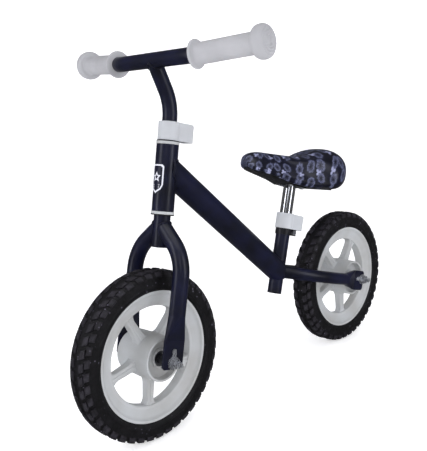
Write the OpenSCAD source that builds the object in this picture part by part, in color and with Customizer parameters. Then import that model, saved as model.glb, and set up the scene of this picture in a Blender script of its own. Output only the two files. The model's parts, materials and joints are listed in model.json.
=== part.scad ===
// Child's balance bike: steel tube frame, moulded wheels with foam tyres,
// height-adjustable handlebar and seat.
// +X points forward, +Y to the rider's left, +Z up; the ground is z = 0.

/* [Wheels] */
// Outer diameter of both tyres
wheel_od = 296; // [284:1:310]
// Width of the tyres
tyre_w = 45; // [40:1:48]
// Distance between the two axles
wheelbase = 570; // [540:1:620]
// Outer diameter of the wheel rims
rim_od = 228; // [216:1:234]
// Number of spokes in each wheel
spoke_count = 5; // [4:1:6]
// Outer diameter of the wheel hubs
hub_od = 78; // [64:1:84]
// Width of the wheel hubs
hub_w = 80; // [72:1:92]
// Diameter of the axles
axle_d = 10; // [8:1:12]

/* [Frame] */
// Angle between the head tube and the ground
head_angle = 78; // [74:0.5:80]
// Length of the head tube
head_tube_len = 113; // [95:1:130]
// Angle between the seat tube and the ground
seat_angle = 72.5; // [68:0.5:76]
// Outer diameter of the main tube
main_tube_od = 44.5; // [38:0.5:50]
// Outer diameter of the chain stays
stay_od = 25.4; // [22:0.2:28]
// Length of the seat tube
seat_tube_len = 150; // [140:1:170]

/* [Steering] */
// Distance of the front axle ahead of the steering axis
fork_rake = 6; // [0:1:20]
// Outer diameter of the fork legs
leg_od = 28; // [25:0.5:28.5]
// Clear space between the front tyre and the foot of the steerer
tyre_room = 36; // [28:1:44]
// Outer diameter of the handlebar, its stem and the seat post
stem_od = 25.4; // [22:0.2:28]
// Height of the handlebar above the top of the head tube
bar_rise = 132; // [126:1:160]
// Length of the handlebar along its middle line
bar_len = 426; // [390:2:470]
// Angle through which each end of the handlebar is bent
bar_sweep = 11.5; // [0:0.5:20]
// Angle through which the stem is bent forward
stem_bend = 35; // [20:1:40]

/* [Seat] */
// Length of the seat
seat_len = 286; // [250:1:300]
// Width of the seat
seat_w = 140; // [120:1:160]
// Length of seat post between the clamp cover and the seat
post_show = 58; // [50:1:80]

/* [Fits] */
// Radial clearance of parts that turn or slide in one another
slide_gap = 0.05; // [0.02:0.01:0.1]
// Radial clearance of parts that are pressed or clamped together
press_gap = 0.02; // [0.01:0.01:0.05]
// Space between the faces of parts that move past each other
body_gap = 0.3; // [0.3:0.05:0.8]

/* [Hidden] */
$fn = 64;

paint = "#15152b";
white = "#dfe0e6";
black = "#17171a";
zinc = "#b9bcc2";

axle_z = wheel_od / 2;
front_x = wheelbase / 2;
far = 400; // reach of a cutting body, past anything it cuts
cut = 1; // overshoot of a cutting body past a face
bend_ease = 0.02; // a bend's wall inside the straight tube's wall
press_ease = 0.2; // and a pressed end's inside it
lap = 0.5; // straight tube over the end of a bend or a pressed end

// Tube walls and sizes that follow from what goes inside them
tube_wall = 1.55;
stem_r = stem_od / 2;
steerer_od = stem_od + 2 * (slide_gap + tube_wall);
steerer_r = steerer_od / 2;
bush_wall = 2.6;
bush_r = steerer_r + slide_gap + bush_wall;
head_wall = 2;
head_r = bush_r + press_gap + head_wall;
main_wall = 1.8;

// Stations along the steering axis, measured from level with the front axle
steerer_foot = axle_z + tyre_room;
head_foot = steerer_foot + 61;
head_top = head_foot + head_tube_len;
bush_flange = 4.6;
bush_depth = 18;
ring_t = 1.6;
washer_top = head_top + bush_flange + body_gap + ring_t;
bar_cover_foot = washer_top + 0.2;
bar_collar_foot = bar_cover_foot + 1.6;
bar_s = head_top + bar_rise;

// Stations along the seat tube, measured from its open foot
seat_foot_ahead = 232; // foot of the seat tube ahead of the rear axle
seat_foot_above = 19.2; // and above it
seat_collar_foot = seat_tube_len - 28;
seat_cover_foot = seat_collar_foot + 12.5;

// Tube clamp: a split collar with two ears and two bolts, under a cover
collar_wall = 2;
collar_r = steerer_r + press_gap + collar_wall;
collar_h = 26;
collar_split = 3;
ear_reach = 35;
ear_half = 6.5;
clamp_bolt_d = 6;
clamp_bolt_x = 25;
clamp_bolt_zs = [6.5, collar_h - 6.5];
bolt_head_d = 10;
bolt_head_h = 4.5;
bolt_key = 5;
bolt_key_depth = 2.5;
clamp_nut_flats = 10;
clamp_nut_h = 5;
cover_wall = 1.5;
cover_r = collar_r + 0.3 + cover_wall;
cover_h = 31;
cover_room = 0.4; // round the tube that slides through the cover
lobe_reach = 47;
lobe_half = 14.5;
lobe_round = 6;
lobe_drop = 9; // radius of the lobe's rounded upper edge
split_depth = 30; // saw cut down the clamped end of a tube
split_w = 2.5;
badge_foot = 30;
badge_h = 48;
badge_angle = 84;
badge_t = 0.3;
steerer_top = bar_collar_foot + collar_h + 1.7;

// Dropouts, axles and what is on them
plate_t = 4;
plate_w = 43;
dropout_y = hub_w / 2 + 19.5;
axle_slot = axle_d + 0.6;
axle_half = dropout_y + 20.5;
tab_t = 2;
tab_r = 11;
tab_arm_w = 8;
tab_reach = 19;
tab_peg_r = 2;
plate_corner = 6;
spacer_r = 8.5;
tab_y = dropout_y + plate_t / 2;
nut_y = tab_y + tab_t;
nut_flange_d = 21;
nut_flange_t = 2;
nut_flats = 15;
nut_h = 7;
thread_groove = 1; // width of the groove that ends the thread, outside the nut
thread_groove_depth = 0.5;

// Wheel
tyre_half = tyre_w / 2;
rim_r = rim_od / 2;
rim_half = tyre_half - 3.5;
rim_lip = 3;
window_r = rim_r - 28;
tyre_side_r = rim_r + 13;
tread_power = 0.5; // below 1 the tread's section turns squarer than round
hub_r = hub_od / 2;
hub_wall = 3.5;
boss_half = hub_w / 2 - 10;
boss_r = 16.5;
web_half = 5;
bearing_w = 8;
bearing_r = 13;
spoke_root_w = 17;
spoke_tip_w = 13;
spoke_depth = 17;
front_spoke_turn = -82;
rear_spoke_turn = -91;

// Fork legs: straight beside the wheel, then bent in to the steerer
leg_bend_r = 70;
leg_bend = 50;
leg_wall = 1.6;
leg_bend_s = steerer_foot - 44;
leg_flat_s = 36; // top of the flat plate, above the axle
leg_round_s = 78; // foot of the round tube
leg_tip = 11; // plate below the axle
leg_root = 48; // straight tube from the bend to the steerer
leg_inner_y = 7; // where each leg stops short of the middle
crown_s = steerer_foot + 16; // where the legs' middle lines meet the steering axis
leg_tilt = atan(fork_rake / crown_s);

// Chain stays: level with the axle, they run forward and bend in
stay_drop = 3.5;
stay_tilt = 16.75;
stay_straight = 83;
stay_bend = 40;
stay_bend_r = (dropout_y - 15.5) / (1 - cos(stay_bend));
stay_flat = 30; // length of the flat plate ahead of the axle
stay_round = 66; // where the round tube starts
stay_tip = 6; // plate behind the axle
stay_wall = 1.6;
stay_root = 15; // solid end that meets the seat tube

// Main tube, from a point on the seat tube's axis to one on the steering axis
main_on_seat = 45.4;
main_on_head = head_foot + 74;
main_mitre_x = 2;
main_plug = 48; // solid end behind the mitre, along the tube's axis
steer_x = front_x - fork_rake * sin(head_angle);
steer_z = axle_z - fork_rake * cos(head_angle);
seat_x = seat_foot_ahead - front_x;
seat_z = axle_z + seat_foot_above;
main_start = [seat_x - main_on_seat * cos(seat_angle), seat_z + main_on_seat * sin(seat_angle)];
main_end = [steer_x - main_on_head * cos(head_angle), steer_z + main_on_head * sin(head_angle)];
main_len = norm(main_end - main_start);
main_tilt = atan2(main_end[1] - main_start[1], main_end[0] - main_start[0]);

// Handlebar and stem
stem_foot = steerer_top - 108;
stem_bend_r = 80;
stem_show = 7.3; // straight stem above the steerer
stem_rise = bar_s - steerer_top - stem_show; // height of the bar above the bend's start
stem_lean_len = (stem_rise - stem_bend_r * sin(stem_bend)) / cos(stem_bend);
bar_ahead = stem_bend_r * (1 - cos(stem_bend)) + stem_lean_len * sin(stem_bend);
bar_bend_y = 78;
bar_bend_r = 60;
bar_roll = 17.3 + 90 - head_angle; // lifts the bar's bent ends above the level
bar_wall = 1.6;
bar_end_len = bar_len / 2 - bar_bend_y - bar_bend_r * bar_sweep * PI / 180;
grip_len = 117.5; // from the flange's face to the end of the tube
grip_foot = bar_end_len + lap - grip_len;
grip_r = 16.6;
grip_flange_r = 23;
grip_flange_t = 5;
grip_knob_r = 25.5;
grip_knob_len = 24;
grip_over = 15; // grip past the end of the tube
knob_power = 0.62; // below 1 the knob's section turns squarer than round

// Seat
plate_size = [52, 40, 3];
seat_plate_x = -30;
seat_s = seat_cover_foot + cover_h + post_show + plate_size[2];
post_foot = seat_tube_len - 90;
post_wall = 1.6;
screw_d = 5;
screw_head_d = 9;
screw_head_h = 3;
screw_depth = 4.5;
seat_screw_xs = [-23, 15];
seat_screw_y = 13;
pan_inset = 8;
pan_t = 6; // thickness of the plastic pan
pan_nose = 138; // ends of the pan, and its keel, ahead of the post
pan_keel = 50;
pan_tail = -62;

// Axes that the sub-parts are drawn along
module along_steering() {
    translate([steer_x, 0, steer_z]) rotate([0, head_angle - 90, 0]) children();
}

module along_seat_tube() {
    translate([seat_x, 0, seat_z]) rotate([0, seat_angle - 90, 0]) children();
}

module along_stays() {
    translate([-front_x, 0, axle_z - stay_drop]) rotate([0, -stay_tilt, 0]) children();
}

module along_main_tube() {
    translate([main_start[0], 0, main_start[1]]) rotate([0, 90 - main_tilt, 0]) children();
}

module at_front_axle() {
    translate([front_x, 0, axle_z]) children();
}

module at_rear_axle() {
    translate([-front_x, 0, axle_z]) children();
}

// Turns a body drawn along +Z so that it runs along +Y
module lengthways() {
    rotate([-90, 0, 0]) children();
}

module both_sides() {
    children();
    mirror([0, 1, 0]) children();
}

module ring(outer_r, inner_r, h) {
    difference() {
        cylinder(r = outer_r, h = h);
        translate([0, 0, -cut]) cylinder(r = inner_r, h = h + 2 * cut);
    }
}

module hex(flats, h) {
    cylinder(d = flats / cos(30), h = h, $fn = 6);
}

// Bent tube: starts at the origin along +Z and leans over towards +X. Its wall is a hair
// thinner than the straight tube's, and the straight ends lap over it.
module tube_bend(bend_r, angle, outer_r, inner_r) {
    rotate([90, 0, 180]) translate([-bend_r, 0, 0]) rotate_extrude(angle = angle) {
        translate([bend_r, 0]) difference() {
            circle(r = outer_r - bend_ease);
            circle(r = inner_r + bend_ease);
        }
    }
}

// Straight on from the end of a bend, lapping over it
module after_bend(bend_r, angle) {
    translate([bend_r * (1 - cos(angle)), 0, bend_r * sin(angle)]) rotate([0, angle, 0]) {
        translate([0, 0, -lap]) children();
    }
}

// Flattened tube end: round at the height round_z, pressed to a plate at flat_z below it.
// Its round end lies within the wall of the tube that goes on from there.
module pressed_end(tube_r, wall, round_z, flat_z) {
    facets = 32;
    outer_r = tube_r - press_ease;
    inner_r = (tube_r - wall + press_ease) / cos(180 / facets);
    difference() {
        hull() {
            translate([0, 0, round_z]) cylinder(r = outer_r, h = lap, $fn = facets);
            translate([-plate_t / 2, -plate_w / 2, flat_z]) cube([plate_t, plate_w, 0.5]);
        }
        hull() {
            translate([0, 0, round_z]) cylinder(r = inner_r, h = lap + cut, $fn = facets);
            translate([-0.2, -plate_w / 2 + 4, flat_z + 3]) cube([0.4, plate_w - 8, 0.5]);
        }
    }
}

// Dropout plate with its open axle slot, corners cut off and the hole for the tab washer.
// The axle lies axle_up along the plate and axle_offset across it.
module dropout(flat_z, tip, axle_up, axle_offset) {
    difference() {
        translate([-plate_t / 2, -plate_w / 2, -tip]) cube([plate_t, plate_w, flat_z + tip]);
        translate([0, axle_offset, axle_up]) {
            rotate([0, 90, 0]) cylinder(d = axle_slot, h = 2 * plate_t, center = true);
            translate([-plate_t, -axle_slot / 2, -far]) cube([2 * plate_t, axle_slot, far]);
            translate([0, 0, tab_reach]) rotate([0, 90, 0]) {
                cylinder(r = tab_peg_r + 0.3, h = 2 * plate_t, center = true);
            }
        }
        for (side = [-1, 1]) {
            translate([0, side * plate_w / 2, -tip]) rotate([45, 0, 0]) {
                cube([2 * plate_t, plate_corner, plate_corner], center = true);
            }
        }
    }
}

// Frame

module head_tube() {
    color(paint) along_steering() translate([0, 0, head_foot]) {
        ring(head_r, bush_r + press_gap, head_tube_len);
    }
}

module main_tube() {
    color(paint) difference() {
        along_main_tube() translate([0, 0, -main_tube_od]) {
            cylinder(d = main_tube_od, h = main_len + main_tube_od);
        }
        along_main_tube() translate([0, 0, main_plug]) {
            cylinder(d = main_tube_od - 2 * main_wall, h = main_len);
        }
        along_steering() translate([0, 0, head_foot - far / 2]) cylinder(r = head_r, h = far);
        along_steering() translate([0, -far / 2, head_foot - far / 2]) cube(far);
        along_seat_tube() translate([0, 0, -far / 2]) cylinder(r = steerer_r, h = far);
        along_seat_tube() translate([main_mitre_x - far, -far / 2, -far / 2]) cube(far);
    }
}

module clamp_split(top) {
    translate([-steerer_od, -split_w / 2, top - split_depth]) {
        cube([steerer_od, split_w, split_depth + cut]);
    }
}

module seat_tube() {
    color(paint) along_seat_tube() difference() {
        ring(steerer_r, stem_r + slide_gap, seat_tube_len);
        clamp_split(seat_tube_len);
    }
}

// Chain stay along +Z with its axle at z = 0; +X is inwards
module stay_tube() {
    dropout(stay_flat, stay_tip, stay_drop * sin(stay_tilt), -stay_drop * cos(stay_tilt));
    pressed_end(stay_od / 2, stay_wall, stay_round, stay_flat);
    translate([0, 0, stay_round]) {
        ring(stay_od / 2, stay_od / 2 - stay_wall, stay_straight - stay_round + lap);
    }
    translate([0, 0, stay_straight]) {
        tube_bend(stay_bend_r, stay_bend, stay_od / 2, stay_od / 2 - stay_wall);
        after_bend(stay_bend_r, stay_bend) cylinder(d = stay_od, h = stay_root);
    }
}

module stay_in_place() {
    difference() {
        along_stays() translate([0, dropout_y, 0]) rotate([-90, 0, 0]) rotate([0, 90, 0]) {
            stay_tube();
        }
        along_seat_tube() translate([0, 0, -far / 2]) cylinder(r = steerer_r, h = far);
        along_seat_tube() translate([main_mitre_x, -far / 2, -far / 2]) cube(far);
        translate([-far, 0.1 - 2 * far, 0]) cube(2 * far);
    }
}

module left_chain_stay() {
    color(paint) stay_in_place();
}

module right_chain_stay() {
    color(paint) mirror([0, 1, 0]) stay_in_place();
}

// Flanged bush, flange down, its face at z = 0
module head_bush() {
    difference() {
        union() {
            cylinder(r = head_r + 0.5, h = bush_flange);
            cylinder(r = bush_r, h = bush_flange + bush_depth);
        }
        translate([0, 0, -cut]) {
            cylinder(r = steerer_r + slide_gap, h = bush_flange + bush_depth + 2 * cut);
        }
    }
}

module lower_head_bush() {
    color(white) along_steering() translate([0, 0, head_foot - bush_flange]) head_bush();
}

module upper_head_bush() {
    color(white) along_steering() translate([0, 0, head_top + bush_flange]) {
        mirror([0, 0, 1]) head_bush();
    }
}

module head_badge() {
    color(white) along_steering() translate([0, 0, head_foot + badge_foot]) {
        rotate([0, 0, -badge_angle / 2]) rotate_extrude(angle = badge_angle) {
            translate([head_r + press_gap, 0]) square([badge_t, badge_h]);
        }
    }
}

// Tube clamp, drawn with the collar's foot at z = 0

module clamp_collar() {
    difference() {
        union() {
            cylinder(r = collar_r, h = collar_h);
            translate([-ear_reach, -ear_half, 0]) cube([ear_reach, 2 * ear_half, collar_h]);
        }
        translate([0, 0, -cut]) cylinder(r = steerer_r + press_gap, h = collar_h + 2 * cut);
        translate([-ear_reach - cut, -collar_split / 2, -cut]) {
            cube([ear_reach + cut, collar_split, collar_h + 2 * cut]);
        }
        at_clamp_bolts() cylinder(d = clamp_bolt_d + 2 * press_gap, h = far, center = true);
    }
}

module at_clamp_bolts() {
    for (z = clamp_bolt_zs) {
        translate([-clamp_bolt_x, 0, z]) lengthways() children();
    }
}

module clamp_bolts() {
    shank = 2 * ear_half + clamp_nut_h + 0.6;
    at_clamp_bolts() difference() {
        union() {
            translate([0, 0, ear_half - shank]) cylinder(d = clamp_bolt_d, h = shank);
            translate([0, 0, ear_half]) cylinder(d = bolt_head_d, h = bolt_head_h);
        }
        translate([0, 0, ear_half + bolt_head_h - bolt_key_depth]) hex(bolt_key, bolt_head_h);
    }
}

module clamp_nuts() {
    at_clamp_bolts() translate([0, 0, -ear_half - clamp_nut_h]) difference() {
        hex(clamp_nut_flats, clamp_nut_h);
        translate([0, 0, -cut]) cylinder(d = clamp_bolt_d + 2 * press_gap, h = clamp_nut_h + 2 * cut);
    }
}

// Outline of the clamp cover seen from above, drawn in by inset
module cover_outline(inset) {
    corner = lobe_round - inset;
    half = lobe_half - inset;
    reach = lobe_reach - inset;
    circle(r = cover_r - inset);
    translate([-reach + corner, -half]) square([reach - corner, 2 * half]);
    translate([-reach, -half + corner]) square([reach, 2 * (half - corner)]);
    for (side = [-1, 1]) {
        translate([-reach + corner, side * (half - corner)]) circle(r = corner);
    }
}

// Side view of the cover, with its rounded upper corner over the lobe
module cover_side(inset) {
    reach = lobe_reach - inset;
    top = cover_h - inset;
    drop = lobe_drop - inset;
    translate([-reach + drop, -cut]) square([reach + cover_r, top + cut]);
    translate([-reach, -cut]) square([reach, top - drop + cut]);
    translate([-reach + drop, top - drop]) circle(r = drop);
}

module cover_form(inset) {
    intersection() {
        translate([0, 0, -inset]) linear_extrude(cover_h) cover_outline(inset);
        rotate([90, 0, 0]) translate([0, 0, -far / 2]) linear_extrude(far) cover_side(inset);
    }
}

module clamp_cover() {
    difference() {
        cover_form(0);
        cover_form(cover_wall);
        cylinder(r = stem_r + cover_room, h = far);
    }
}

module seat_clamp_collar() {
    color(black) along_seat_tube() translate([0, 0, seat_collar_foot]) clamp_collar();
}

module seat_clamp_bolts() {
    color(zinc) along_seat_tube() translate([0, 0, seat_collar_foot]) clamp_bolts();
}

module seat_clamp_nuts() {
    color(zinc) along_seat_tube() translate([0, 0, seat_collar_foot]) clamp_nuts();
}

module seat_clamp_cover() {
    color(white) along_seat_tube() translate([0, 0, seat_cover_foot]) clamp_cover();
}

module bar_clamp_collar() {
    color(black) along_steering() translate([0, 0, bar_collar_foot]) clamp_collar();
}

module bar_clamp_bolts() {
    color(zinc) along_steering() translate([0, 0, bar_collar_foot]) clamp_bolts();
}

module bar_clamp_nuts() {
    color(zinc) along_steering() translate([0, 0, bar_collar_foot]) clamp_nuts();
}

module bar_clamp_cover() {
    color(white) along_steering() translate([0, 0, bar_cover_foot]) clamp_cover();
}

// Axles and their fittings, drawn across the wheel at the origin

module axle() {
    lengthways() difference() {
        cylinder(d = axle_d, h = 2 * axle_half, center = true);
        for (side = [0, 1]) mirror([0, 0, side]) {
            translate([0, 0, nut_y + nut_flange_t + nut_h]) {
                ring(axle_d, axle_d / 2 - thread_groove_depth, thread_groove);
            }
        }
    }
}

module axle_spacers() {
    both_sides() translate([0, boss_half + body_gap, 0]) lengthways() {
        ring(spacer_r, axle_d / 2 + press_gap, tab_y - plate_t - boss_half - body_gap);
    }
}

// Washers outside the dropouts, each with a peg in the plate's small hole
module tab_washers() {
    both_sides() translate([0, tab_y, 0]) lengthways() difference() {
        union() {
            cylinder(r = tab_r, h = tab_t);
            translate([-tab_arm_w / 2, -tab_reach, 0]) cube([tab_arm_w, tab_reach, tab_t]);
            translate([0, -tab_reach, 0]) cylinder(r = tab_arm_w / 2, h = tab_t);
            translate([0, -tab_reach, -plate_t]) cylinder(r = tab_peg_r, h = plate_t + tab_t);
        }
        translate([0, 0, -cut]) cylinder(r = axle_d / 2 + press_gap, h = tab_t + 2 * cut);
    }
}

module axle_nuts() {
    both_sides() translate([0, nut_y, 0]) lengthways() difference() {
        union() {
            cylinder(d = nut_flange_d, h = nut_flange_t);
            hex(nut_flats, nut_h + nut_flange_t);
        }
        translate([0, 0, -cut]) {
            cylinder(r = axle_d / 2 + press_gap, h = nut_h + nut_flange_t + 2 * cut);
        }
    }
}

module rear_axle() {
    color(zinc) at_rear_axle() axle();
}

module rear_axle_spacers() {
    color(black) at_rear_axle() axle_spacers();
}

module rear_tab_washers() {
    color(zinc) at_rear_axle() rotate([0, 90 - stay_tilt, 0]) tab_washers();
}

module rear_axle_nuts() {
    color(zinc) at_rear_axle() axle_nuts();
}

module front_axle() {
    color(zinc) at_front_axle() axle();
}

module front_axle_spacers() {
    color(black) at_front_axle() axle_spacers();
}

module front_tab_washers() {
    color(zinc) at_front_axle() rotate([0, head_angle - 90 - leg_tilt, 0]) tab_washers();
}

module front_axle_nuts() {
    color(zinc) at_front_axle() axle_nuts();
}

// Fork

module steerer_tube() {
    color(paint) along_steering() difference() {
        translate([0, 0, steerer_foot]) {
            ring(steerer_r, stem_r + slide_gap, steerer_top - steerer_foot);
        }
        clamp_split(steerer_top);
    }
}

// Fork leg along +Z with its axle at z = 0; +X is inwards
module leg_tube() {
    dropout(leg_flat_s, leg_tip, 0, 0);
    pressed_end(leg_od / 2, leg_wall, leg_round_s, leg_flat_s);
    translate([0, 0, leg_round_s]) {
        ring(leg_od / 2, leg_od / 2 - leg_wall, leg_bend_s - leg_round_s + lap);
    }
    translate([0, 0, leg_bend_s]) {
        tube_bend(leg_bend_r, leg_bend, leg_od / 2, leg_od / 2 - leg_wall);
        after_bend(leg_bend_r, leg_bend) {
            ring(leg_od / 2, leg_od / 2 - leg_wall, leg_root);
        }
    }
}

module leg_in_place() {
    difference() {
        at_front_axle() rotate([0, head_angle - 90 - leg_tilt, 0]) translate([0, dropout_y, 0]) {
            rotate([0, 0, -90]) leg_tube();
        }
        along_steering() translate([0, 0, steerer_foot - far / 2]) {
            cylinder(r = steerer_r, h = far);
        }
        translate([0, leg_inner_y - 2 * far, 0]) cube(2 * far);
    }
}

module left_fork_leg() {
    color(paint) leg_in_place();
}

module right_fork_leg() {
    color(paint) mirror([0, 1, 0]) leg_in_place();
}

module crown_ring() {
    color(black) along_steering() {
        translate([0, 0, head_foot - bush_flange - body_gap - ring_t]) {
            ring(head_r + 1, steerer_r + press_gap, ring_t);
        }
    }
}

module steerer_washer() {
    color(black) along_steering() translate([0, 0, washer_top - ring_t]) {
        ring(head_r + 0.5, steerer_r + press_gap, ring_t);
    }
}

// Handlebar

module stem_tube() {
    straight_top = steerer_top + stem_show;
    color(paint) along_steering() difference() {
        union() {
            translate([0, 0, stem_foot]) {
                ring(stem_r, stem_r - bar_wall, straight_top + lap - stem_foot);
            }
            translate([0, 0, straight_top]) {
                tube_bend(stem_bend_r, stem_bend, stem_r, stem_r - bar_wall);
                after_bend(stem_bend_r, stem_bend) ring(stem_r, stem_r - bar_wall, stem_lean_len);
            }
        }
        translate([bar_ahead, 0, bar_s]) lengthways() cylinder(r = stem_r, h = far, center = true);
    }
}

// The handlebar's middle line, along +Z to the rider's left; its ends bend towards +X
module along_bar() {
    along_steering() translate([bar_ahead, 0, bar_s]) rotate([0, 180 + bar_roll, 0]) lengthways() {
        children();
    }
}

module along_bar_end() {
    along_bar() translate([0, 0, bar_bend_y]) after_bend(bar_bend_r, bar_sweep) children();
}

module handlebar_tube() {
    color(paint) along_bar() {
        translate([0, 0, -bar_bend_y - lap]) {
            ring(stem_r, stem_r - bar_wall, 2 * (bar_bend_y + lap));
        }
        for (side = [0, 1]) mirror([0, 0, side]) translate([0, 0, bar_bend_y]) {
            tube_bend(bar_bend_r, bar_sweep, stem_r, stem_r - bar_wall);
            after_bend(bar_bend_r, bar_sweep) ring(stem_r, stem_r - bar_wall, bar_end_len + lap);
        }
    }
}

// Grip with an inner flange and a domed knob, over the closed end of the bar
module grip() {
    knob_foot = grip_len + grip_over - grip_knob_len;
    bore_r = stem_r + press_gap;
    rotate_extrude() polygon(concat(
        [[bore_r, 0], [grip_flange_r, 0], [grip_flange_r, grip_flange_t], [grip_r, grip_flange_t]],
        [[grip_r, knob_foot + 1]],
        [for (a = [140:-10:0]) knob_point(a, knob_foot)],
        [[0, grip_len], [bore_r, grip_len]]));
}

function signed_power(x, power) = sign(x) * pow(abs(x), power);

// Point on the knob's round edge: angle 0 is its outer end
function knob_point(a, foot) = [grip_knob_r * pow(sin(a), knob_power),
    foot + grip_knob_len / 2 * (1 + signed_power(cos(a), knob_power))];

module left_grip() {
    color(white) along_bar_end() translate([0, 0, grip_foot]) grip();
}

module right_grip() {
    color(white) mirror([0, 1, 0]) along_bar_end() translate([0, 0, grip_foot]) grip();
}

// Wheels, drawn about +Z and turned across the bicycle

// Bed that the tyre sits in, from one lip to the other
function bed_line(grow) = [
    [rim_r + grow, rim_half],
    [rim_r + grow, rim_half - rim_lip],
    [rim_r - 10 + grow, rim_half - 4.5],
    [window_r + 8 + grow, 8],
    [window_r + 8 + grow, -8],
    [rim_r - 10 + grow, 4.5 - rim_half],
    [rim_r + grow, rim_lip - rim_half],
    [rim_r + grow, -rim_half],
];

function reversed(list) = [for (i = [len(list) - 1:-1:0]) list[i]];

module rim_ring() {
    inner = [
        [rim_r - 4, rim_half],
        [window_r + 12, rim_half - 1.5],
        [window_r, 8],
        [window_r, -8],
        [window_r + 12, 1.5 - rim_half],
        [rim_r - 4, -rim_half],
    ];
    rotate_extrude($fn = 96) polygon(concat(bed_line(0), reversed(inner)));
}

module spokes() {
    root = spoke_root_w / 2;
    tip = spoke_tip_w / 2;
    for (i = [0:spoke_count - 1]) {
        rotate([0, 0, i * 360 / spoke_count]) linear_extrude(spoke_depth, center = true) {
            polygon([[boss_r, -root], [window_r + 3, -tip], [window_r + 3, tip], [boss_r, root]]);
        }
    }
}

module hub() {
    translate([0, 0, -hub_w / 2]) ring(hub_r, hub_r - hub_wall, hub_w);
    cylinder(r = hub_r - 1, h = 2 * web_half, center = true);
    cylinder(r = boss_r, h = 2 * boss_half, center = true);
}

module rim(turn) {
    lengthways() difference() {
        union() {
            rim_ring();
            rotate([0, 0, -turn]) spokes();
            hub();
        }
        cylinder(d = axle_d + 4, h = far, center = true);
        for (side = [0, 1]) {
            mirror([0, 0, side]) translate([0, 0, boss_half - bearing_w]) {
                cylinder(r = bearing_r + press_gap, h = bearing_w + cut);
            }
        }
    }
}

// Outer line of the tyre: straight side walls and a squarish tread
function tread_point(a) = [tyre_side_r + (axle_z - tyre_side_r) * pow(sin(a), tread_power),
    tyre_half * signed_power(cos(a), tread_power)];

module tyre() {
    lengthways() rotate_extrude($fn = 96) polygon(concat(
        reversed(bed_line(press_gap)),
        [[rim_r + press_gap, rim_half + 0.8], [rim_r + 4, tyre_half - 0.5]],
        [for (a = [0:9:180]) tread_point(a)],
        [[rim_r + 4, 0.5 - tyre_half], [rim_r + press_gap, -rim_half - 0.8]]));
}

module bearing() {
    translate([0, boss_half - bearing_w, 0]) lengthways() {
        ring(bearing_r, axle_d / 2 + slide_gap, bearing_w);
    }
}

module front_rim() {
    color(white) at_front_axle() rim(front_spoke_turn);
}

module front_tyre() {
    color(black) at_front_axle() tyre();
}

module front_left_bearing() {
    color(zinc) at_front_axle() bearing();
}

module front_right_bearing() {
    color(zinc) at_front_axle() mirror([0, 1, 0]) bearing();
}

module rear_rim() {
    color(white) at_rear_axle() rim(rear_spoke_turn);
}

module rear_tyre() {
    color(black) at_rear_axle() tyre();
}

module rear_left_bearing() {
    color(zinc) at_rear_axle() bearing();
}

module rear_right_bearing() {
    color(zinc) at_rear_axle() mirror([0, 1, 0]) bearing();
}

// Seat, drawn square to its post with the pan's underside at z = 0

module along_seat() {
    along_seat_tube() translate([0, 0, seat_s]) children();
}

module seat_post() {
    color(zinc) along_seat_tube() translate([0, 0, post_foot]) {
        ring(stem_r, stem_r - post_wall, seat_s - plate_size[2] - post_foot);
    }
}

module at_seat_screws() {
    for (x = seat_screw_xs, side = [-1, 1]) translate([x, side * seat_screw_y, 0]) children();
}

module seat_plate() {
    color(black) along_seat() difference() {
        translate([seat_plate_x, -plate_size[1] / 2, -plate_size[2]]) cube(plate_size);
        at_seat_screws() cylinder(d = screw_d + 2 * press_gap, h = far, center = true);
    }
}

module seat_screws() {
    color(zinc) along_seat() at_seat_screws() {
        translate([0, 0, -plate_size[2] - screw_head_h]) cylinder(d = screw_head_d, h = screw_head_h);
        translate([0, 0, -plate_size[2]]) cylinder(d = screw_d, h = plate_size[2] + screw_depth);
    }
}

// Smooth closed line through a list of points, with steps points along each span
function spline(points, steps) = [
    for (i = [0:len(points) - 1])
        for (k = [0:steps - 1])
            span_point(points, i, k / steps)
];

function around(points, i) = points[(i + len(points)) % len(points)];

function span_point(points, i, t) =
    let (a = around(points, i - 1), b = around(points, i), c = around(points, i + 1),
        d = around(points, i + 2))
    0.5 * (2 * b + (c - a) * t + (2 * a - 5 * b + 4 * c - d) * t * t
        + (3 * b - a - 3 * c + d) * t * t * t);

// Side view of the padded seat: x forward and y up
seat_side = [
    [152, 12], [146, 34], [120, 45], [80, 49.5], [30, 56.5], [-14, 67.5], [-45, 82],
    [-75, 92], [-103, 91], [-124, 79], [-131, 60], [-124, 38], [-103, 17], [-71, 5],
    [-28, 0.5], [19, 1], [60, 6], [100, 8], [140, 7],
];

// Half of the seat's plan view, from the nose to the tail
seat_plan = [
    [152, 5], [145, 14], [128, 19], [100, 21], [65, 25], [35, 34], [5, 46], [-25, 58],
    [-55, 67], [-85, 70], [-110, 62], [-125, 44], [-131, 18],
];

seat_tail = seat_plan[len(seat_plan) - 1][0];
seat_scale_x = seat_len / (seat_plan[0][0] - seat_tail);
seat_scale_y = seat_w / (2 * seat_plan[9][1]);

module seat_plan_shape(inset) {
    half = [for (p = seat_plan) [p[0] * seat_scale_x, max(p[1] * seat_scale_y - inset, 1)]];
    other = [for (p = half) [p[0], -p[1]]];
    intersection() {
        polygon(spline(concat(half, reversed(other)), 2));
        translate([seat_tail * seat_scale_x + inset, -far / 2]) {
            square([seat_len - 2 * inset, far]);
        }
    }
}

module across_seat() {
    rotate([90, 0, 0]) translate([0, 0, -far / 2]) linear_extrude(far) children();
}

// Side view of the plastic pan: flat over the plate, with a keel under the nose
module pan_side(grow) {
    polygon([
        [pan_nose, 6], [pan_keel, -7.5], [pan_keel - 26, 0], [pan_tail, 0],
        [pan_tail - grow, pan_t + grow], [pan_keel - 30, pan_t + grow],
        [pan_keel + 6, pan_t + 5 + grow], [pan_nose + grow, 12 + grow],
    ]);
}

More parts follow.
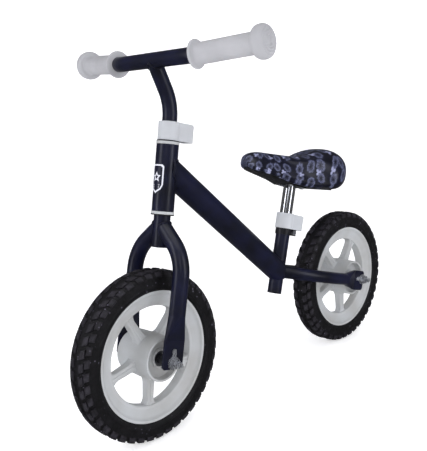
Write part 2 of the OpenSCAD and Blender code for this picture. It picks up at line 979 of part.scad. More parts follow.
module seat_pan() {
    color(black) along_seat() difference() {
        intersection() {
            linear_extrude(far, center = true) seat_plan_shape(pan_inset);
            across_seat() pan_side(0);
        }
        at_seat_screws() cylinder(d = screw_d + 2 * press_gap, h = 2 * (screw_depth + 0.3), center = true);
    }
}

module seat_cushion() {
    color(paint) along_seat() difference() {
        intersection() {
            linear_extrude(far, center = true) seat_plan_shape(0);
            across_seat() scale([seat_scale_x, 1]) polygon(spline(seat_side, 2));
        }
        intersection() {
            linear_extrude(far, center = true) seat_plan_shape(pan_inset - 0.2);
            across_seat() union() {
                pan_side(0.2);
                translate([pan_tail, -far]) square([pan_nose - pan_tail, far + 3]);
            }
        }
    }
}

head_tube();
main_tube();
seat_tube();
left_chain_stay();
right_chain_stay();
upper_head_bush();
lower_head_bush();
head_badge();
seat_clamp_collar();
seat_clamp_bolts();
seat_clamp_nuts();
seat_clamp_cover();
rear_axle();
rear_axle_spacers();
rear_tab_washers();
rear_axle_nuts();
steerer_tube();
left_fork_leg();
right_fork_leg();
crown_ring();
steerer_washer();
bar_clamp_collar();
bar_clamp_bolts();
bar_clamp_nuts();
bar_clamp_cover();
front_axle();
front_axle_spacers();
front_tab_washers();
front_axle_nuts();
stem_tube();
handlebar_tube();
left_grip();
right_grip();
front_rim();
front_tyre();
front_left_bearing();
front_right_bearing();
rear_rim();
rear_tyre();
rear_left_bearing();
rear_right_bearing();
seat_post();
seat_plate();
seat_screws();
seat_pan();
seat_cushion();
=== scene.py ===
import bmesh
import bpy
import json
import math
from mathutils import Matrix, Vector


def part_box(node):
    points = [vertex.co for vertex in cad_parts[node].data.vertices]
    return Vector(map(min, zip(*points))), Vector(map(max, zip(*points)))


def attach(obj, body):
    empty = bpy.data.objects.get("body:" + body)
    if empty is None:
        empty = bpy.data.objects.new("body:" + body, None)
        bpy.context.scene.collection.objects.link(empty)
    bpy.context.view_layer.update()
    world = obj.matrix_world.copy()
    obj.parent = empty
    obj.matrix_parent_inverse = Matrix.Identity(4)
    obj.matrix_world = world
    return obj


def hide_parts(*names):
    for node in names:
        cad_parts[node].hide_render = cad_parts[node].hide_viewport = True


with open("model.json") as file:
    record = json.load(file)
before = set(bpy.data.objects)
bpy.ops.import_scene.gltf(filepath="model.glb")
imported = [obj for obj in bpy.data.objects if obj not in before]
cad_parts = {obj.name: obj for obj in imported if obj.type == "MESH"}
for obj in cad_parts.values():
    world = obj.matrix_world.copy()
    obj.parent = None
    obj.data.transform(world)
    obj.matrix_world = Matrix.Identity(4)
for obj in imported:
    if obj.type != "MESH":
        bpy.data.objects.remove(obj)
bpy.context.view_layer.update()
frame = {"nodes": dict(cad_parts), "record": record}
nodes = frame["nodes"]
mm = 0.001


def middleOf(node):
    low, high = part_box(node)
    return (low + high) / 2


frontAxle = middleOf("front_axle")
rearAxle = middleOf("rear_axle")


def linearColour(hexText):
    values = [int(hexText[i:i + 2], 16) / 255 for i in (1, 3, 5)]
    return [v / 12.92 if v <= 0.04045 else ((v + 0.055) / 1.055) ** 2.4 for v in values] + [1.0]


def perMillimetre(size):
    return 1000 / size  # pattern scale for a feature of this size in mm


def addNode(tree, kind, settings=None, links=None):
    node = tree.nodes.new(kind)
    for name, value in (settings or {}).items():
        if isinstance(name, int) or name in node.inputs:
            node.inputs[name].default_value = value
        else:
            setattr(node, name, value)
    for name, source in (links or {}).items():
        tree.links.new(source, node.inputs[name])
    return node


def makePiece(name, mesh, material, body, stands=()):
    piece = bpy.data.objects.new(name, mesh)
    bpy.context.scene.collection.objects.link(piece)
    mesh.materials.clear()
    mesh.materials.append(material)
    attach(piece, body)
    if stands:
        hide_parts(*stands)
    return piece


def meshFrom(bm, name, smooth=True, sharpAngle=40):
    bmesh.ops.recalc_face_normals(bm, faces=bm.faces)
    mesh = bpy.data.meshes.new(name)
    bm.to_mesh(mesh)
    bm.free()
    if smooth:
        mesh.shade_smooth()
        mesh.set_sharp_from_angle(angle=math.radians(sharpAngle))
    return mesh


def spunGrid(bm, rows, count, place, closed=False):
    # rows of (radius, along) points spun round the Z axis; place turns them into the part's frame
    rings = []
    for radius, along in rows:
        if radius < 1e-6:
            rings.append([bm.verts.new(place @ Vector((0, 0, along)))])
            continue
        ring = []
        for i in range(count):
            a = 2 * math.pi * i / count
            ring.append(bm.verts.new(place @ Vector((radius * math.cos(a), radius * math.sin(a), along))))
        rings.append(ring)
    joinRings(bm, rings, closed)
    return rings


def joinRings(bm, rings, closed=False):
    pairs = list(zip(rings, rings[1:]))
    if closed:
        pairs.append((rings[-1], rings[0]))
    for a, b in pairs:
        count = max(len(a), len(b))
        for i in range(count):
            j = (i + 1) % count
            corners = [a[i % len(a)], a[j % len(a)], b[j % len(b)], b[i % len(b)]]
            unique = []
            for v in corners:
                if v not in unique:
                    unique.append(v)
            bm.faces.new(unique)


def smoothLine(points, steps):
    # rounded line through the points, open at both ends
    out = []
    last = len(points) - 1
    for i in range(last):
        a, b, c, d = (Vector(points[max(0, min(last, i + k))]) for k in (-1, 0, 1, 2))
        for k in range(steps):
            t = k / steps
            out.append(0.5 * (2 * b + (c - a) * t + (2 * a - 5 * b + 4 * c - d) * t ** 2
                              + (3 * b - a - 3 * c + d) * t ** 3))
    out.append(Vector(points[last]))
    return out


def setInput(modifier, name, value):
    for item in modifier.node_group.interface.items_tree:
        if item.item_type == "SOCKET" and item.in_out == "INPUT" and item.name == name:
            modifier[item.identifier] = value


def grown(mesh, tree, inputs):
    # runs a node tree on a mesh and gives back the plain mesh it makes
    holder = bpy.data.objects.new("holder", mesh)
    bpy.context.scene.collection.objects.link(holder)
    modifier = holder.modifiers.new("grow", "NODES")
    modifier.node_group = tree
    for name, value in inputs.items():
        setInput(modifier, name, value)
    bpy.context.view_layer.update()
    found = bpy.data.meshes.new_from_object(holder.evaluated_get(bpy.context.evaluated_depsgraph_get()))
    holder.modifiers.remove(modifier)
    bpy.data.objects.remove(holder)
    return found


def newTree(name, sockets):
    tree = bpy.data.node_groups.new(name, "GeometryNodeTree")
    tree.interface.new_socket("Geometry", in_out="INPUT", socket_type="NodeSocketGeometry")
    for socketName, kind, value in sockets:
        socket = tree.interface.new_socket(socketName, in_out="INPUT", socket_type=kind)
        if value is not None:
            socket.default_value = value
    tree.interface.new_socket("Geometry", in_out="OUTPUT", socket_type="NodeSocketGeometry")
    return tree, addNode(tree, "NodeGroupInput").outputs


def closeTree(tree, given, geometry):
    # instances made real and given their finish
    real = addNode(tree, "GeometryNodeRealizeInstances", links={"Geometry": geometry})
    finish = addNode(tree, "GeometryNodeSetMaterial",
                     links={"Geometry": real.outputs["Geometry"], "Material": given["Finish"]})
    addNode(tree, "NodeGroupOutput", links={"Geometry": finish.outputs["Geometry"]})


def startFinish(name, colour, roughness, metallic=0.0, ior=None):
    material = bpy.data.materials.new(name)
    material.use_nodes = True
    tree = material.node_tree
    tree.nodes.clear()
    shader = addNode(tree, "ShaderNodeBsdfPrincipled",
                     {"Base Color": linearColour(colour), "Roughness": roughness, "Metallic": metallic})
    if ior:
        shader.inputs["IOR"].default_value = ior
    addNode(tree, "ShaderNodeOutputMaterial", links={"Surface": shader.outputs["BSDF"]})
    place = addNode(tree, "ShaderNodeTexCoord").outputs["Object"]
    return material, tree, shader, place


def noiseAt(tree, place, size, detail=3.0, stretch=None):
    if stretch:
        place = addNode(tree, "ShaderNodeMapping", {"Scale": stretch}, {"Vector": place}).outputs["Vector"]
    return addNode(tree, "ShaderNodeTexNoise", {"Scale": perMillimetre(size), "Detail": detail},
                   {"Vector": place}).outputs["Fac"]


def spread(tree, value, low, high, fromLow=0.3, fromHigh=0.7):
    return addNode(tree, "ShaderNodeMapRange",
                   {"From Min": fromLow, "From Max": fromHigh, "To Min": low, "To Max": high},
                   {"Value": value}).outputs["Result"]


def blendColours(tree, factor, colourA, colourB):
    mix = addNode(tree, "ShaderNodeMix", {"data_type": "RGBA"})
    mix.inputs[6].default_value = linearColour(colourA) if isinstance(colourA, str) else (0, 0, 0, 1)
    if not isinstance(colourA, str):
        tree.links.new(colourA, mix.inputs[6])
    if isinstance(colourB, str):
        mix.inputs[7].default_value = linearColour(colourB)
    else:
        tree.links.new(colourB, mix.inputs[7])
    tree.links.new(factor, mix.inputs[0])
    return mix.outputs[2]


def bumpFrom(tree, shader, height, distance, strength=1.0, under=None):
    links = {"Height": height}
    if under:
        links["Normal"] = under
    bump = addNode(tree, "ShaderNodeBump", {"Strength": strength, "Distance": distance * mm}, links)
    tree.links.new(bump.outputs["Normal"], shader.inputs["Normal"])
    return bump.outputs["Normal"]


def powderCoat():
    # dark navy powder coat over steel, baked: deep colour, soft highlights with a faint orange peel
    material, tree, shader, place = startFinish("navyPowderCoat", "#0b0c1e", 0.3, ior=1.5)
    cloudy = noiseAt(tree, place, 45)
    tree.links.new(blendColours(tree, spread(tree, cloudy, 0, 1), "#07091a", "#0f1230"),
                   shader.inputs["Base Color"])
    tree.links.new(spread(tree, noiseAt(tree, place, 12), 0.31, 0.4), shader.inputs["Roughness"])
    peel = noiseAt(tree, place, 2.4, 1.0)  # real peel is about 1 mm, drawn coarser to show
    bumpFrom(tree, shader, peel, 0.05, 0.35)
    return material


def mouldedPlastic(name, light, shade, roughness, grain):
    # injection moulded polypropylene: waxy, slightly uneven sheen over a fine spark-eroded grain
    material, tree, shader, place = startFinish(name, light, roughness, ior=1.49)
    shader.inputs["Subsurface Weight"].default_value = 0.06
    shader.inputs["Subsurface Radius"].default_value = (0.004, 0.004, 0.004)
    cloudy = noiseAt(tree, place, 60)
    tree.links.new(blendColours(tree, spread(tree, cloudy, 0, 1), light, shade), shader.inputs["Base Color"])
    tree.links.new(spread(tree, noiseAt(tree, place, 8), roughness - 0.06, roughness + 0.08),
                   shader.inputs["Roughness"])
    fine = noiseAt(tree, place, grain, 2.0)
    bumpFrom(tree, shader, fine, 0.05, 0.3)
    return material


def foamRubber():
    # EVA foam skin: matt, charcoal, with a pebbled skin and pale scuffed specks on the tread, and a blotchy
    # painted highlight on the tread block crowns
    material, tree, shader, place = startFinish("evaFoamSkin", "#0d0c10", 0.62, ior=1.5)
    shader.inputs["Specular IOR Level"].default_value = 0.4
    cloudy = noiseAt(tree, place, 22, 4.0)
    base = blendColours(tree, spread(tree, cloudy, 0, 1), "#09080b", "#131117")
    cells = addNode(tree, "ShaderNodeTexVoronoi", {"Scale": perMillimetre(7.0), "Randomness": 1.0},
                    {"Vector": place})
    speck = spread(tree, cells.outputs["Distance"], 1, 0, 0.10, 0.24)
    patchy = spread(tree, noiseAt(tree, place, 16, 2.0), 0, 1, 0.52, 0.66)
    both = addNode(tree, "ShaderNodeMath", {"operation": "MULTIPLY"}, {0: speck, 1: patchy}).outputs["Value"]
    # painted highlight: the block crowns, weighted in the mesh, are painted lighter in blotches, standing in
    # for light on the tread tops against the dark grooves
    crownHighlightWeight = addNode(tree, "ShaderNodeAttribute", {"attribute_name": "crownHighlight"}).outputs["Fac"]
    paintedCrownHighlight = addNode(tree, "ShaderNodeMath", {"operation": "MULTIPLY"},
                    {0: crownHighlightWeight, 1: spread(tree, noiseAt(tree, place, 14, 4.0), 0.15, 1)}).outputs["Value"]
    base = blendColours(tree, paintedCrownHighlight, base, "#322f38")
    tree.links.new(blendColours(tree, both, base, "#6a6678"), shader.inputs["Base Color"])
    tree.links.new(spread(tree, noiseAt(tree, place, 5), 0.52, 0.7), shader.inputs["Roughness"])
    bumpFrom(tree, shader, noiseAt(tree, place, 1.6, 3.0), 0.25, 0.6)
    return material


def platedSteel(name, colour, dull, roughness, scratch, metal=1.0):
    # plated steel: bright metal, rolled marks running round, slightly uneven plating
    material, tree, shader, place = startFinish(name, colour, roughness, metal)
    cloudy = noiseAt(tree, place, 9)
    tree.links.new(blendColours(tree, spread(tree, cloudy, 0, 1), colour, dull), shader.inputs["Base Color"])
    marks = noiseAt(tree, place, scratch, 4.0, (1.0, 1.0, 0.15))
    tree.links.new(spread(tree, marks, roughness - 0.04, roughness + 0.1), shader.inputs["Roughness"])
    bumpFrom(tree, shader, marks, 0.02, 0.3)
    return material


def blackCoat(name, colour, lighter, roughness, grain):
    # black moulded or coated surface with a fine leathery grain
    material, tree, shader, place = startFinish(name, colour, roughness, ior=1.5)
    tree.links.new(blendColours(tree, spread(tree, noiseAt(tree, place, 20), 0, 1), colour, lighter),
                   shader.inputs["Base Color"])
    tree.links.new(spread(tree, noiseAt(tree, place, 6), roughness - 0.06, roughness + 0.08),
                   shader.inputs["Roughness"])
    bumpFrom(tree, shader, noiseAt(tree, place, grain, 2.0), 0.1, 0.5)
    return material


def printedVinyl():
    # calendered vinyl over foam: printed ovals and small clovers on navy, fine leather grain, soft gloss
    sizes = {"ovalGap": 26.0, "cloverGap": 38.0, "grain": 1.5}
    material, tree, shader, place = startFinish("printedVinyl", "#0a0c22", 0.36, ior=1.52)
    uv = addNode(tree, "ShaderNodeUVMap", {"uv_map": "print"}).outputs["UV"]  # print lies in mm / 1000

    def cellPlace(gap, shift, jitter):
        moved = addNode(tree, "ShaderNodeMapping", {"Location": (shift, shift * 0.7, 0)}, {"Vector": uv})
        cells = addNode(tree, "ShaderNodeTexVoronoi",
                        {"voronoi_dimensions": "2D", "Scale": perMillimetre(gap), "Randomness": jitter},
                        {"Vector": moved.outputs["Vector"]})
        away = addNode(tree, "ShaderNodeVectorMath", {"operation": "SUBTRACT"},
                       {0: moved.outputs["Vector"], 1: cells.outputs["Position"]})
        parts = addNode(tree, "ShaderNodeSeparateXYZ", links={0: away.outputs["Vector"]})
        return parts.outputs["X"], parts.outputs["Y"], cells.outputs["Color"]

    def combined(operation, a, b):
        node = addNode(tree, "ShaderNodeMath", {"operation": operation})
        for slot, value in ((0, a), (1, b)):
            if isinstance(value, (int, float)):
                node.inputs[slot].default_value = value
            else:
                tree.links.new(value, node.inputs[slot])
        return node.outputs["Value"]

    x, y, cellColour = cellPlace(sizes["ovalGap"], 0.013, 0.45)
    tilt = addNode(tree, "ShaderNodeSeparateColor", links={"Color": cellColour}).outputs["Red"]
    lean = spread(tree, tilt, -0.5, 0.5, 0.0, 1.0)
    xTurned = combined("ADD", x, combined("MULTIPLY", y, lean))
    wide = combined("MULTIPLY", xTurned, 1.28)
    away = combined("SQRT", combined("ADD", combined("MULTIPLY", wide, wide), combined("MULTIPLY", y, y)), 0)
    turn = combined("ARCTAN2", y, wide)
    flutes = combined("SINE", combined("MULTIPLY", turn, 9.0), 0)
    rippled = combined("ADD", away, combined("MULTIPLY", flutes, 0.0005))
    frayed = combined("ADD", rippled, spread(tree, noiseAt(tree, place, 2.5, 4.0), -0.0016, 0.0016))
    inside = spread(tree, frayed, 1, 0, 0.0092, 0.0124)
    rimBand = spread(tree, frayed, 0.6, 1, 0.0060, 0.0092)
    heart = combined("MULTIPLY", spread(tree, away, 0, 1, 0.0012, 0.0048),
                     spread(tree, flutes, 0.3, 1, -0.6, 0.6))
    veins = combined("MAXIMUM", heart, spread(tree, away, 0, 1, 0.0055, 0.0080))
    paleness = combined("MULTIPLY", combined("MULTIPLY", inside, rimBand), veins)
    soft = combined("MULTIPLY", paleness, spread(tree, noiseAt(tree, place, 3, 5.0), 0.35, 1.0))

    cx, cy, _ = cellPlace(sizes["cloverGap"], 0.031, 0.35)
    reach = combined("SQRT", combined("ADD", combined("MULTIPLY", cx, cx), combined("MULTIPLY", cy, cy)), 0)
    leaves = combined("MULTIPLY", combined("ARCTAN2", cy, cx), 1.5)
    petals = combined("ABSOLUTE", combined("SINE", leaves, 0), 0)
    edge = combined("MULTIPLY", combined("ADD", petals, 0.3), 0.0052)
    clover = spread(tree, combined("SUBTRACT", reach, edge), 1, 0, -0.0014, 0.0006)

    navy = blendColours(tree, spread(tree, noiseAt(tree, place, 30), 0, 1), "#060818", "#0b0d26")
    ovals = blendColours(tree, soft, navy, "#666b8c")
    printed = blendColours(tree, clover, ovals, "#8d91b2")
    tree.links.new(printed, shader.inputs["Base Color"])
    tree.links.new(spread(tree, noiseAt(tree, place, 10), 0.3, 0.42), shader.inputs["Roughness"])
    grain = addNode(tree, "ShaderNodeTexVoronoi", {"Scale": perMillimetre(sizes["grain"])}, {"Vector": place})
    bumpFrom(tree, shader, grain.outputs["Distance"], 0.12, 0.35)
    return material


framePaint = powderCoat()
wheelPlastic = mouldedPlastic("wheelPolypropylene", "#b4b7ba", "#a5a5a4", 0.42, 0.9)
coverPlastic = mouldedPlastic("coverPolypropylene", "#bbbec3", "#b0b2b6", 0.38, 0.8)
gripPlastic = mouldedPlastic("softGripPvc", "#b0b0b4", "#a1a1a5", 0.5, 1.1)
tyreFoam = foamRubber()
zincPlate = platedSteel("zincPlatedSteel", "#d6d8dc", "#b4b7bd", 0.25, 1.2, 0.85)
chromePlate = platedSteel("chromePlatedTube", "#e6e7ea", "#d3d5da", 0.08, 1.0)
bearingSteel = platedSteel("groundBearingSteel", "#b4b6ba", "#8c8e94", 0.34, 0.8)
blackSteel = blackCoat("blackLacqueredSteel", "#0f0f13", "#1a1a20", 0.34, 1.4)
blackPlastic = blackCoat("grainedBlackAbs", "#101014", "#1d1d22", 0.42, 1.0)
vinyl = printedVinyl()
badgeFilm = mouldedPlastic("printedBadgeFilm", "#e4e5ec", "#d6d8e2", 0.3, 1.5)
print("finishes ready")

slotFinish = {
    "frame_paint": framePaint, "white_plastic": wheelPlastic, "grip_rubber": gripPlastic,
    "black_plastic": blackPlastic, "black_steel": blackSteel, "zinc": zincPlate,
    "chrome": chromePlate, "tyre_foam": tyreFoam, "seat_vinyl": vinyl, "badge_film": badgeFilm,
}
for part in frame["record"]["subparts"]:
    holder = nodes[part["node"]]
    for holderSlot in holder.material_slots:
        holderSlot.link = "OBJECT"
        holderSlot.material = slotFinish[part["material_slot"]]
for bearingName in ("front_left_bearing", "front_right_bearing", "rear_left_bearing", "rear_right_bearing"):
    for holderSlot in nodes[bearingName].material_slots:
        holderSlot.material = bearingSteel


steeringSizes = {"headAngle": 78.0, "rake": 6 * mm, "headFoot": 245 * mm}


def leaning(origin, degreesFromUpright, along=0.0):
    return (Matrix.Translation(origin) @ Matrix.Rotation(math.radians(degreesFromUpright), 4, "Y")
            @ Matrix.Translation((0, 0, along)))


headTurn = math.radians(steeringSizes["headAngle"])
steeringFoot = frontAxle - steeringSizes["rake"] * Vector((math.sin(headTurn), 0, math.cos(headTurn)))
steeringAxis = leaning(steeringFoot, steeringSizes["headAngle"] - 90)
seatSizes = {"ahead": 232 * mm, "above": 19.2 * mm, "angle": 72.5, "seatAlong": 226.5 * mm,
             "length": 286.0, "inset": 2.0, "puff": 5 * mm, "rim": 6.5, "keelWide": 0.55, "keelBack": 13 * mm}
seatTubeFoot = rearAxle + Vector((seatSizes["ahead"], 0, seatSizes["above"]))
seatTubeAxis = leaning(seatTubeFoot, seatSizes["angle"] - 90)
seatPlace = leaning(seatTubeFoot, seatSizes["angle"] - 90, seatSizes["seatAlong"])
acrossWheel = Matrix.Rotation(math.radians(-90), 4, "X")

tyreSizes = {"outer": 148.0, "side": 127.0, "half": 22.5, "bed": 104.0, "bedHalf": 14.0, "lip": 114.0,
             "blocks": 43, "groove": 2.8, "power": 0.5}
# a tread block's start and end across the tyre in degrees, its start and end round it in pitches, its slant
treadBlocks = [(14, 50, 0.00, 0.66, 0.10), (56, 86, 0.34, 1.02, 0.24), (94, 124, 0.00, 0.68, -0.24),
               (130, 166, 0.36, 1.02, -0.10)]


def tyreEdge(turnDegrees, down=0.0):
    # point of the tyre's section: radius and place across, at an angle from one side wall to the other
    s = tyreSizes
    a = math.radians(turnDegrees)
    radius = s["side"] + (s["outer"] - s["side"] - down) * max(0.0, math.sin(a)) ** s["power"]
    across = (s["half"] - down * 0.5) * math.copysign(abs(math.cos(a)) ** s["power"], math.cos(a))
    return radius, across


def tyreCarcass():
    s = tyreSizes
    lip, half = s["lip"], s["half"]
    rows = [(lip + 0.2, half - 3.2), (lip + 1.5, half - 1.6), (lip + 4, half - 0.6),
            (lip + 8, half - 0.1), (lip + 9, half - 0.7), (lip + 11, half - 0.7)]
    rows += [tyreEdge(a, s["groove"]) for a in range(2, 179, 8)]
    rows += [(r, -y) for r, y in reversed(rows[:6])]
    rows += [(s["bed"], -s["bedHalf"]), (s["bed"], s["bedHalf"])]
    bm = bmesh.new()
    spunGrid(bm, [(r * mm, y * mm) for r, y in rows], 180, acrossWheel, closed=True)
    return bm


def treadBlock(bm, turnFrom, turnTo, pitchFrom, pitchTo, slant):
    # one moulded block: its crown on the tyre's outline, its foot sunk in the carcass
    s = tyreSizes
    crownHighlight = bm.verts.layers.float["crownHighlight"]
    pitch = 2 * math.pi / s["blocks"]
    levels = [(0.0, 0.0), (0.55, 0.0), (1.0, 0.10)]
    across, along = 4, 2
    rings = []
    for height, draw in levels:
        ring = []
        down = s["groove"] + 0.6 if height == 0.0 else s["groove"] * (1 - height)
        path = [(i / across, 0) for i in range(across)] + [(1, k / along) for k in range(along)]
        path += [(1 - i / across, 1) for i in range(across)] + [(0, 1 - k / along) for k in range(along)]
        for u, v in path:
            u = 0.5 + (u - 0.5) * (1 - draw)
            v = 0.5 + (v - 0.5) * (1 - draw)
            radius, y = tyreEdge(turnFrom + (turnTo - turnFrom) * u, down)
            angle = pitch * (pitchFrom + (pitchTo - pitchFrom) * v + slant * (u - 0.5))
            spot = Vector((radius * math.cos(angle), radius * math.sin(angle), y))
            ring.append(bm.verts.new(acrossWheel @ spot * mm))
        rings.append(ring)
    joinRings(bm, rings)
    top = rings[-1]
    # the top rings get a weight, and the crown a full one, which the tyre finish turns into a painted
    # highlight on the block tops
    for v in top + rings[-2]:
        v[crownHighlight] = 0.8
    columns = [[top[0], top[-1], top[2 * across + along]]]
    for i in range(1, across):
        a, b = top[i], top[2 * across + along - i]
        crown = bm.verts.new((a.co + b.co) / 2 * 1.002)
        crown[crownHighlight] = 1.0
        columns.append([a, crown, b])
    columns.append([top[across], top[across + 1], top[across + 2]])
    for left, right in zip(columns, columns[1:]):
        for k in range(2):
            bm.faces.new([left[k], right[k], right[k + 1], left[k + 1]])


def treadTree():
    tree, given = newTree("treadAroundAxle", [("Blocks", "NodeSocketInt", 43),
                                              ("Finish", "NodeSocketMaterial", None)])
    points = addNode(tree, "GeometryNodePoints", links={"Count": given["Blocks"]})
    index = addNode(tree, "GeometryNodeInputIndex").outputs["Index"]
    share = addNode(tree, "ShaderNodeMath", {"operation": "DIVIDE"}, {0: index, 1: given["Blocks"]})
    turn = addNode(tree, "ShaderNodeMath", {"operation": "MULTIPLY", 1: 2 * math.pi},
                   {0: share.outputs["Value"]})
    euler = addNode(tree, "ShaderNodeCombineXYZ", links={"Y": turn.outputs["Value"]})
    copies = addNode(tree, "GeometryNodeInstanceOnPoints",
                     links={"Points": points.outputs[0], "Instance": given["Geometry"],
                            "Rotation": euler.outputs["Vector"]})
    closeTree(tree, given, copies.outputs["Instances"])
    return tree


def tyreMesh(name, axle):
    pitchBlocks = bmesh.new()
    # a weight per vertex for the painted highlight on the block crowns
    pitchBlocks.verts.layers.float.new("crownHighlight")
    for block in treadBlocks:
        treadBlock(pitchBlocks, *block)
    pitchMesh = meshFrom(pitchBlocks, "treadPitch", smooth=False)
    tread = grown(pitchMesh, treadTree(), {"Blocks": tyreSizes["blocks"], "Finish": tyreFoam})
    bm = tyreCarcass()
    bmesh.ops.recalc_face_normals(bm, faces=bm.faces)
    bm.from_mesh(tread)
    mesh = meshFrom(bm, name, sharpAngle=32)
    mesh.transform(Matrix.Translation(axle))
    return mesh


for wheel, axle in (("front", frontAxle), ("rear", rearAxle)):
    makePiece(wheel + "TyreTread", tyreMesh(wheel + "TyreTread", axle), tyreFoam, wheel + "_wheel",
              [wheel + "_tyre"])
print("tyres ready")


wheelSizes = {"spokes": 5, "frontTurn": -82.0, "rearTurn": -91.0, "rim": 114.0, "rimHalf": 19.0,
              "window": 86.0, "hub": 39.0, "hubHalf": 40.0, "boss": 16.5, "bossHalf": 30.0,
              "spokeRoot": 17.0, "spokeTip": 13.0, "spokeDeep": 8.6, "rib": 1.1, "bearing": 13.2}


def rimRows():
    s = wheelSizes
    r, h, w = s["rim"], s["rimHalf"], s["window"]
    side = [(r - 0.2, h - 3.0), (r, h - 1.0), (r - 1.0, h - 0.1), (r - 4.5, h - 0.1), (r - 5.6, h - 0.8),
            (r - 7.0, h - 3.2), (r - 11, h - 5.2), (r - 16, h - 7.0), (w + 7, h - 9.0), (w + 4.5, h - 9.4),
            (w + 2.5, h - 9.2), (w + 0.8, h - 9.8), (w, h - 11.2)]
    back = [(w, -(h - 11.2))] + [(a, -b) for a, b in reversed(side[:-1])]
    bed = [(r - 9, -(h - 4.5)), (w + 8, -8), (w + 8, 8), (r - 9, h - 4.5)]
    return side + back + bed


def hubRows():
    s = wheelSizes
    r, h = s["hub"], s["hubHalf"]
    boss, end, bearing = s["boss"], s["bossHalf"], s["bearing"]
    half = [(r - 0.6, 14.0), (r - 1.2, h - 3.0), (r - 1.6, h - 0.8), (r - 2.4, h - 0.1), (r - 4.2, h - 0.1),
            (r - 5.2, h - 1.0), (r - 5.6, h - 6.0), (r - 6.4, h - 12.5), (r - 9.0, h - 14.0),
            (boss + 2, h - 14.0), (boss + 0.6, h - 13.2), (boss, h - 11.0), (boss - 0.8, end - 0.1),
            (bearing, end - 0.1), (bearing, end - 8.2), (7.0, end - 8.2)]
    return [(r, 0.0)] + half + [(a, -b) for a, b in reversed(half)]


def addSpoke(bm, turn):
    # box-section spoke with a raised rib along each face, flaring into hub and rim
    s = wheelSizes
    start, end = s["hub"] - 5, s["window"] + 2.2
    steps = 16
    rings = []
    for i in range(steps + 1):
        t = i / steps
        radius = start + (end - start) * t
        flareIn = max(0.0, 1 - (radius - start) / 14) ** 2
        flareOut = max(0.0, 1 - (end - radius) / 15) ** 2
        width = (s["spokeRoot"] + (s["spokeTip"] - s["spokeRoot"]) * t) / 2 + 4.0 * flareIn + 7.5 * flareOut
        depth = s["spokeDeep"] - 1.0 * t + 2.5 * flareIn - 0.4 * flareOut
        ridge = -depth - s["rib"]
        outline = [(-width, -depth + 2), (-width + 1.2, -depth + 0.5), (-width + 2.8, -depth), (-2.4, -depth),
                   (-1.4, ridge), (1.4, ridge), (2.4, -depth), (width - 2.8, -depth),
                   (width - 1.2, -depth + 0.5), (width, -depth + 2)]
        outline += [(-a, -b) for a, b in outline]
        ring = []
        for a, b in outline:
            sag = radius - (radius - math.sqrt(max(radius ** 2 - a ** 2, 1))) * flareOut
            ring.append(bm.verts.new((Matrix.Rotation(turn, 4, "Z") @ Vector((sag, a, b))) * mm))
        rings.append(ring)
    joinRings(bm, rings)
    bm.faces.new(rings[0])
    bm.faces.new(rings[-1])


def rimMesh(name, axle, turn):
    s = wheelSizes
    bm = bmesh.new()
    flat = Matrix.Identity(4)
    spunGrid(bm, [(r * mm, y * mm) for r, y in rimRows()], 160, flat, closed=True)
    spunGrid(bm, [(r * mm, y * mm) for r, y in hubRows()], 96, flat, closed=True)
    for i in range(s["spokes"]):
        addSpoke(bm, math.radians(-turn + i * 360 / s["spokes"]))
    mesh = meshFrom(bm, name, sharpAngle=38)
    mesh.transform(Matrix.Translation(axle) @ acrossWheel)
    return mesh


for wheel, axle in (("front", frontAxle), ("rear", rearAxle)):
    makePiece(wheel + "MouldedRim", rimMesh(wheel + "MouldedRim", axle, wheelSizes[wheel + "Turn"]),
              wheelPlastic, wheel + "_wheel", [wheel + "_rim"])
print("wheels ready")


gripSizes = {"length": 117.5, "over": 15.0, "body": 16.6, "flange": 23.0, "flangeThick": 5.0, "knob": 25.5,
             "knobLong": 24.0, "bore": 12.72, "ribs": 28, "ridgeGap": 4.4, "ringDeep": 1.5, "ringsOut": 23.0,
             "barBendAt": 78.0, "barBend": 60.0, "sweep": 11.5, "roll": 29.3, "barLength": 426.0,
             "barAlong": 490.0, "barAhead": 44.45, "lap": 0.5}


def bentEnd(straight, radius, degrees):
    # end of a tube that runs straight along Z and then leans over towards X; lengths in mm
    bend = math.radians(degrees)
    return (Matrix.Translation((0, 0, straight * mm))
            @ Matrix.Translation((radius * (1 - math.cos(bend)) * mm, 0, radius * math.sin(bend) * mm))
            @ Matrix.Rotation(bend, 4, "Y"))


def barMatrix():
    s = gripSizes
    return (steeringAxis @ Matrix.Translation((s["barAhead"] * mm, 0, s["barAlong"] * mm))
            @ Matrix.Rotation(math.radians(180 + s["roll"]), 4, "Y")
            @ Matrix.Rotation(math.radians(-90), 4, "X"))


def gripMatrix():
    s = gripSizes
    bend = math.radians(s["sweep"])
    endLong = s["barLength"] / 2 - s["barBendAt"] - s["barBend"] * bend
    foot = endLong + s["lap"] - s["length"]
    return (barMatrix() @ bentEnd(s["barBendAt"], s["barBend"], s["sweep"])
            @ Matrix.Translation((0, 0, (foot - s["lap"]) * mm)))


